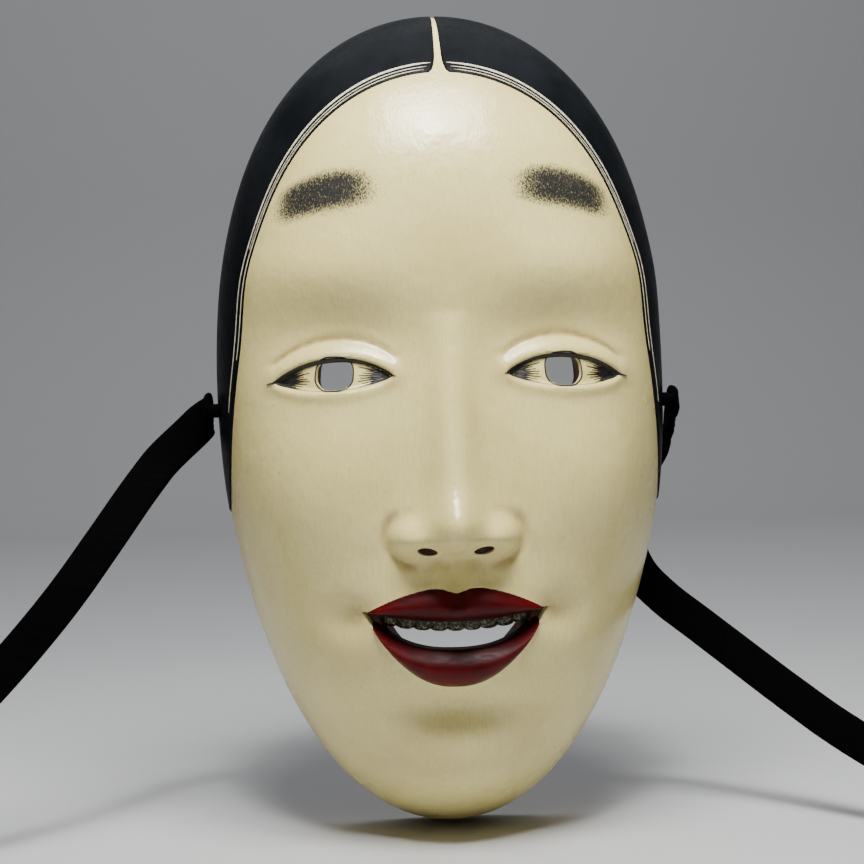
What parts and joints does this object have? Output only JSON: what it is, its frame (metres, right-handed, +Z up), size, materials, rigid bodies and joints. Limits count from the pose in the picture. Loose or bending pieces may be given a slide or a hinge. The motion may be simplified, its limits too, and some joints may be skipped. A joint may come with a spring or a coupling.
{
  "type": "noh mask",
  "caption": "Carved wooden Noh mask of the young-woman type with white face, parted black hair, red lips and flat tying cords.",
  "frame": {"origin": "middle of the flat back rim, where the mask rests on the wearer's face or on its stand", "axes": "+Z up from chin to hair, the face looks along -Y, the flat back rim lies in the plane y = 0, +X is the wearer's left"},
  "size_m": [0.5404, 0.0698, 0.2173],
  "materials": {
    "cypress_wood": "hinoki cypress, hollowed with a gouge and stained dark brown on the back",
    "white_gofun": "ivory white of ground shell in hide glue, brushed on in layers and rubbed to a satin gloss",
    "hair_black": "black ink and glue paint with a satin gloss, and fine pale strand lines along its edge",
    "lip_red": "deep crimson paint with a soft gloss",
    "blackened_teeth": "carved wood, painted black with rubbed olive and gold specks",
    "cord_black": "flat black braid with a fine dull rib",
    "tie_black": "narrow black tape wound round the folded cord"
  },
  "bodies": {
    "root": {"wooden_shell": "cypress_wood", "gofun_coat": "white_gofun", "hair_coat_right": "hair_black", "hair_coat_left": "hair_black", "upper_lip_coat": "lip_red", "lower_lip_coat": "lip_red", "upper_teeth": "blackened_teeth", "cord_right_stop_knot": "cord_black", "cord_right": "cord_black", "cord_right_hank": "cord_black", "cord_right_hank_tie": "tie_black", "cord_right_end_knot": "cord_black", "cord_left_stop_knot": "cord_black", "cord_left": "cord_black", "cord_left_hank": "cord_black", "cord_left_hank_tie": "tie_black", "cord_left_end_knot": "cord_black"}
  },
  "joints": []
}
